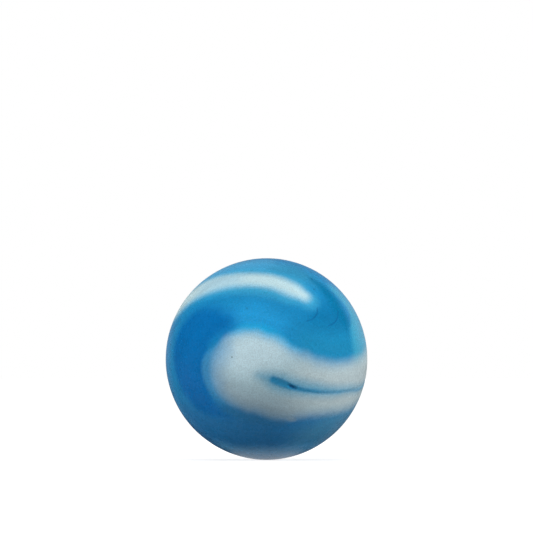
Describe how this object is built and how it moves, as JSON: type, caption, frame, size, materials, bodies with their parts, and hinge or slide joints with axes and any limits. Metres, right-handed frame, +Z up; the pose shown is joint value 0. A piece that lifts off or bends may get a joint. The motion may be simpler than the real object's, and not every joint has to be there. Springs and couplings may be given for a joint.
{
  "type": "marble",
  "caption": "Opaque glass marble: a blue glass ball with a broad folded white swirl, a white crest ribbon and darker blue streaks flush with its skin",
  "frame": {"origin": "the centre of the ball", "axes": "+Z up as the ball lies in the reference picture, -Y towards the viewer, so the broad white fold faces -Y, and +X to the viewer's right"},
  "size_m": [0.025, 0.025, 0.025],
  "materials": {
    "blue_glass": "opaque sky-blue glass, satin gloss from handling",
    "white_glass": "opaque white glass with a faint blue cast, satin gloss",
    "seam_glass": "dark teal-blue glass pinched in the fold, satin gloss",
    "cobalt_glass": "opaque cobalt-blue glass, satin gloss",
    "streak_glass": "opaque darker blue glass, satin gloss"
  },
  "bodies": {
    "root": {"blue_body": "blue_glass", "white_fold": "white_glass", "fold_seam": "seam_glass", "white_crest": "white_glass", "cobalt_streak": "cobalt_glass", "side_streak": "streak_glass"}
  },
  "joints": []
}
